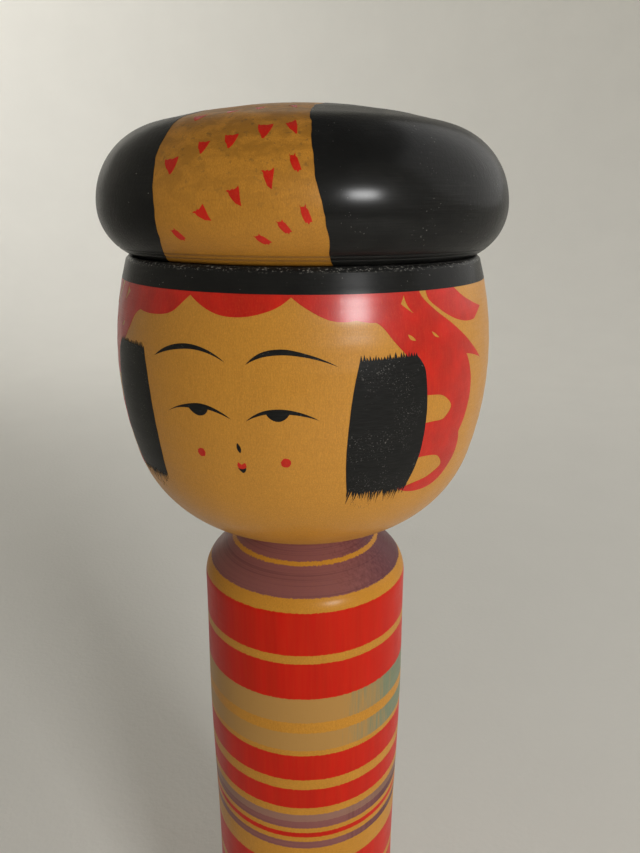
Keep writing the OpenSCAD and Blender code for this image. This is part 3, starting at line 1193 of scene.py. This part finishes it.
class KOKESHI_OT_head(bpy.types.Operator):
    """Turns the round head, bored for the pin and the peg"""

    bl_idname = "kokeshi.head"
    bl_label = "Head"

    def execute(self, context):
        points, _ = ground("head")
        head = lathe("head_wood", with_cap_ends(points), "bare_wood")
        on(head, HEAD_BODY, "head_wood", "head")
        return {"FINISHED"}


class KOKESHI_OT_hair_roll(bpy.types.Operator):
    """Turns the roll of hair in bare wood and paints it black on both sides of the bare strip"""

    bl_idname = "kokeshi.hair_roll"
    bl_label = "Hair roll"

    def execute(self, context):
        points, surface = ground("hair_roll")
        roll = lathe("hair_roll_wood", with_cap_ends(points), "stained_wood")
        on(roll, HEAD_BODY, "head_wood", "hair_roll")
        outline = surface.outline
        rows = outline.points + outline.normals() * sizes().lift_black
        length = outline.length
        rise = (outline.points[:, 1] - surface.seat) / MM
        for side, name in ((1, "left"), (-1, "right")):
            edges = []
            for phase, edge in ((0.0, name), (2.1, f"{name}_back")):
                # A brushed edge sways a little.
                sway = np.sin(length / MM * 0.9 + phase + side) * 0.07
                sway += np.sin(length / MM * 2.3 + phase) * 0.03
                width = np.interp(rise, *zip(*STRIP_EDGES[edge])) * sizes().strip
                edges.append((width + sway) * MM)
            keep = rows[:, 0] > np.maximum(*edges) + 0.15 * MM
            last = int(np.argmin(keep)) if not keep.all() else len(keep)
            front, back = (np.arcsin(np.clip(edge[:last] / rows[:last, 0], 0, 1)) for edge in edges)
            start = front if side > 0 else math.pi + back
            sweep = math.pi - front - back
            steps = sizes().steps_around // 2
            paint = lathe(f"hair_paint_{name}", rows[:last], "black_paint", start, sweep, sizes().film, steps)
            on(paint, HEAD_BODY, "hair_black")
        return {"FINISHED"}


class KOKESHI_OT_hair_paint(bpy.types.Operator):
    """Paints the band under the roll and the two side locks on the head"""

    bl_idname = "kokeshi.hair_paint"
    bl_label = "Hair band and side locks"

    def execute(self, context):
        _, surface = ground("head")
        outer = surface.outline.points
        low = surface.seat - sizes().band
        above = outer[outer[:, 1] > low + 0.1 * MM]
        edge = [np.interp(low, outer[:, 1], outer[:, 0]), low]
        flat = above[-1] - np.array([BAND_TUCK * MM, 0])
        band = Outline(np.vstack([edge, above, flat]))
        rows = band.points + band.normals() * sizes().lift_black
        rows[:, 1] = rows[:, 1].clip(None, surface.seat)
        on(lathe("hair_band", rows, "black_paint", film=sizes().film), HEAD_BODY, "hair_black")
        for side, name in ((1, "side_lock_left"), (-1, "side_lock_right")):
            on(side_lock(surface, name, side), HEAD_BODY, "black_ink")
            on(lock_streaks(surface, f"{name}_streaks", side), HEAD_BODY, "black_ink")
        return {"FINISHED"}


def side_lock(surface, name, side):
    """A brushed lock: smooth sides, small teeth along the top and long ones along the foot."""
    chance = random.Random(11 + side)
    inner = eased([surface.spot(side * d, h) for d, h in LOCK_INNER], 0.6)
    outer = eased([surface.spot(side * d, h) for d, h in LOCK_OUTER], 0.6)
    foot = ragged(inner[-1], outer[0], *LOCK_FOOT, chance)
    top = ragged(outer[-1], inner[0], *LOCK_TOP, chance)
    if side < 0:
        foot = mirror_teeth(foot, inner[-1], outer[0])
        top = mirror_teeth(top, outer[-1], inner[0])
    rim = np.array([*inner[:-1], *foot, *outer[:-1], *top])
    return surface.paint(name, [rim], "black_ink", sizes().lift_black)


def mirror_teeth(line, start, end):
    """Turns the teeth of a ragged line to its other side."""
    start, way = np.array(start), np.array(end) - np.array(start)
    out = np.array([way[1], -way[0]]) / np.hypot(*way)
    return [point - 2 * out * np.dot(point - start, out) for point in line]


def lock_streaks(surface, name, side):
    """The streaks that the brush left below a lock as it ran dry."""
    ends = [surface.spot(side * LOCK_INNER[-1][0], 45.0), surface.spot(side * LOCK_OUTER[0][0], 45.8)]
    start, end = (np.array(point) for point in ends)
    parts = len(STREAK_REACH) - 1
    spots = [start + (end - start) * i / parts for i in range(parts + 1)]
    line = bpy.data.meshes.new(name)
    line.from_pydata([(x * MM, y * MM, 0) for x, y in spots], [(i, i + 1) for i in range(parts)], [])
    line.attributes.new("reach", "FLOAT", "POINT").data.foreach_set("value", STREAK_REACH)
    sliver = helper("sliver", flat_mesh("sliver", [np.array(STREAK_SHAPE)], 0.8))
    inputs = surface.inputs("black_ink", sizes().lift_black * STREAK_COAT)
    inputs |= {"Sliver": sliver, "Count": STREAKS, "Seed": 5 + side}
    made = grown(name, line, "dry_brush", inputs, sizes().film * STREAK_COAT)
    take_away(sliver)
    return made


class KOKESHI_OT_red_paint(bpy.types.Operator):
    """Paints the red fringe and the ornaments on the head"""

    bl_idname = "kokeshi.red_paint"
    bl_label = "Fringe and ornaments"

    def execute(self, context):
        _, surface = ground("head")
        lift = sizes().lift_red
        on(surface.paint("fringe", [surface.loop(FRINGE)], "red_paint", lift), HEAD_BODY, "red_ink")
        for name, turn in (("left", list), ("right", mirrored)):
            loops = [surface.loop(turn(shape)) for shape in (ORNAMENT, *ORNAMENT_GAPS)]
            on(surface.paint(f"ornament_{name}", loops, "red_paint", lift * 1.15), HEAD_BODY, "red_ink")
            petal = [surface.loop(turn(PETAL))]
            on(surface.paint(f"petal_{name}", petal, "red_paint", lift), HEAD_BODY, "red_ink")
        return {"FINISHED"}


class KOKESHI_OT_face(bpy.types.Operator):
    """Paints the brows, eyes, nose, mouth and cheeks"""

    bl_idname = "kokeshi.face"
    bl_label = "Face"

    def execute(self, context):
        _, surface = ground("head")
        for name, strokes in FACE_INK.items():
            lift = sizes().lift_black
            on(surface.paint(name, [surface.loop(strokes, 0.3)], "black_ink", lift), HEAD_BODY, "black_ink")
        for name, strokes in FACE_RED.items():
            lift = sizes().lift_red
            on(surface.paint(name, [surface.loop(strokes, 0.2)], "red_paint", lift), HEAD_BODY, "red_ink")
        for name, (degrees, drop, width) in CHEEKS.items():
            x, y = surface.spot(degrees, drop)
            chance = random.Random(len(name))
            dot = [
                (x + math.cos(a) * r, y + math.sin(a) * r)
                for a in np.linspace(0, 2 * math.pi, 28, endpoint=False)
                for r in [width / 2 * chance.uniform(0.93, 1.06)]
            ]
            on(surface.paint(name, [np.array(dot)], "red_paint", sizes().lift_red), HEAD_BODY, "red_ink")
        return {"FINISHED"}


class KOKESHI_OT_dabs(bpy.types.Operator):
    """Stamps the comb-shaped red dabs on the roll's bare strip"""

    bl_idname = "kokeshi.dabs"
    bl_label = "Dabs on the strip"

    def execute(self, context):
        _, surface = ground("hair_roll")
        shapes = {
            name: helper(name, flat_mesh(name, [np.array(shape)], 0.6))
            for name, shape in DAB_SHAPES.items()
        }
        spots, kinds, turns, scales = [], [], [], []
        for shape, across, rise, turn, wide, high in DABS:
            up = surface.outline.along(surface.seat + rise * MM)
            radius = np.interp(up, surface.outline.length, surface.outline.points[:, 0])
            spots.append((math.asin(across * MM / radius) * surface.radius, up, 0))
            kinds.append(list(DAB_SHAPES).index(shape))
            turns.append(math.radians(turn))
            scales.append((wide * DAB_SIZE, high * DAB_SIZE, 1))
        points = bpy.data.meshes.new("dabs")
        points.from_pydata(spots, [], [])
        for label, values in (("kind", kinds), ("turn", turns)):
            points.attributes.new(label, "FLOAT", "POINT").data.foreach_set("value", values)
        points.attributes.new("size", "FLOAT_VECTOR", "POINT").data.foreach_set("vector", np.ravel(scales))
        inputs = {**shapes, **surface.inputs("red_paint", sizes().lift_red)}
        on(grown("strip_dabs", points, "stamped_dabs", inputs, sizes().film), HEAD_BODY, "red_ink")
        take_away(*shapes.values())
        return {"FINISHED"}


class KOKESHI_OT_pins(bpy.types.Operator):
    """Gives the hidden pin and peg their wood"""

    bl_idname = "kokeshi.pins"
    bl_label = "Pin and peg"

    def execute(self, context):
        for name in ("neck_pin", "roll_peg"):
            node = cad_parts[name]
            for slot in node.material_slots:
                slot.material = material("dry_wood")
        for _, surface in _grounds.values():
            take_away(surface.guide)
        _grounds.clear()
        return {"FINISHED"}


# ---------------------------------------------------------------- the studio


def softbox(name, power, aim):
    """A soft light that looks at a point."""
    azimuth, elevation, distance, size = LIGHTS[name]
    light = bpy.data.lights.new(name, "AREA")
    light.shape = "RECTANGLE"
    light.size, light.size_y = size
    light.energy = power
    azimuth, elevation = math.radians(azimuth), math.radians(elevation)
    level = math.cos(elevation)
    back = Vector((math.sin(azimuth) * level, -math.cos(azimuth) * level, math.sin(elevation)))
    lamp = bpy.data.objects.new(name, light)
    lamp.location = aim + back * distance
    lamp.rotation_euler = back.to_track_quat("Z", "Y").to_euler()
    lamp.visible_camera = False
    bpy.context.scene.collection.objects.link(lamp)


class KOKESHI_OT_stage(bpy.types.Operator):
    """Sets up the floor with its cove, the soft lights and the camera"""

    bl_idname = "kokeshi.stage"
    bl_label = "Studio"

    def execute(self, context):
        stage = context.scene.kokeshi_stage
        low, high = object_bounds()
        bend = np.linspace(0, math.pi / 2, 24)[1:]
        cove = [(0.0, 0.0), (FLOOR_HALF, 0.0)]
        cove += [(FLOOR_HALF + COVE_RADIUS * math.sin(a), COVE_RADIUS * (1 - math.cos(a))) for a in bend]
        cove += [(FLOOR_HALF + COVE_RADIUS, WALL_HEIGHT)]
        floor = lathe("studio_floor", np.array(cove) + [0, low.z], "backdrop")
        floor.data.flip_normals()
        floor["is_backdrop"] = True
        head_middle = Vector((0, 0, high.z * AIM_SHARE))
        softbox("key", stage.key, head_middle)
        softbox("window", stage.window, head_middle)
        softbox("cove_light", stage.cove_light, Vector(COVE_AIM))
        world = bpy.data.worlds.new("even_light")
        world.use_nodes = True
        even_light = world.node_tree.nodes["Background"].inputs
        even_light["Color"].default_value = SKY_COLOUR
        even_light["Strength"].default_value = stage.sky
        context.scene.world = world
        context.scene.view_settings.view_transform = "Standard"
        lens = bpy.data.cameras.new("camera")
        lens.lens = stage.lens
        lens.clip_start = 0.01
        camera = bpy.data.objects.new("camera", lens)
        turn = Matrix.Rotation(stage.turn, 4, "Z")
        camera.matrix_world = (
            Matrix.Translation(turn @ Vector((stage.aside, -stage.distance, stage.height)))
            @ turn
            @ Euler((math.pi / 2 - stage.dip, 0, 0)).to_matrix().to_4x4()
            @ Matrix.Rotation(stage.roll, 4, "Z")
        )
        context.scene.collection.objects.link(camera)
        context.scene.camera = camera
        return {"FINISHED"}


OPERATORS = (
    KOKESHI_OT_trunk,
    KOKESHI_OT_head,
    KOKESHI_OT_hair_roll,
    KOKESHI_OT_hair_paint,
    KOKESHI_OT_red_paint,
    KOKESHI_OT_face,
    KOKESHI_OT_dabs,
    KOKESHI_OT_pins,
    KOKESHI_OT_stage,
)


class KOKESHI_PT_panel(bpy.types.Panel):
    """Lists what the doll is made of"""

    bl_idname = "KOKESHI_PT_panel"
    bl_label = "Kokeshi doll"
    bl_space_type = "VIEW_3D"
    bl_region_type = "UI"
    bl_category = "Kokeshi"

    def draw(self, context):
        for group in GROUPS:
            box = self.layout.box()
            for label in group.__annotations__:
                box.prop(getattr(context.scene, GROUPS[group]), label)
        for operator in OPERATORS:
            self.layout.operator(operator.bl_idname)


GROUPS = {
    KOKESHI_PG_sizes: "kokeshi_sizes",
    KOKESHI_PG_colours: "kokeshi_colours",
    KOKESHI_PG_stage: "kokeshi_stage",
}


def register():
    """Adds the classes and the scene's settings."""
    for item in (*GROUPS, *OPERATORS, KOKESHI_PT_panel):
        bpy.utils.register_class(item)
    for group, label in GROUPS.items():
        setattr(bpy.types.Scene, label, bpy.props.PointerProperty(type=group))


def unregister():
    """Takes away what register() added."""
    for label in GROUPS.values():
        delattr(bpy.types.Scene, label)
    for item in reversed((*GROUPS, *OPERATORS, KOKESHI_PT_panel)):
        bpy.utils.unregister_class(item)


def main():
    """Makes the doll and its studio."""
    register()
    for operator in OPERATORS:
        family, name = operator.bl_idname.split(".")
        getattr(getattr(bpy.ops, family), name)()


if __name__ == "__main__":
    main()
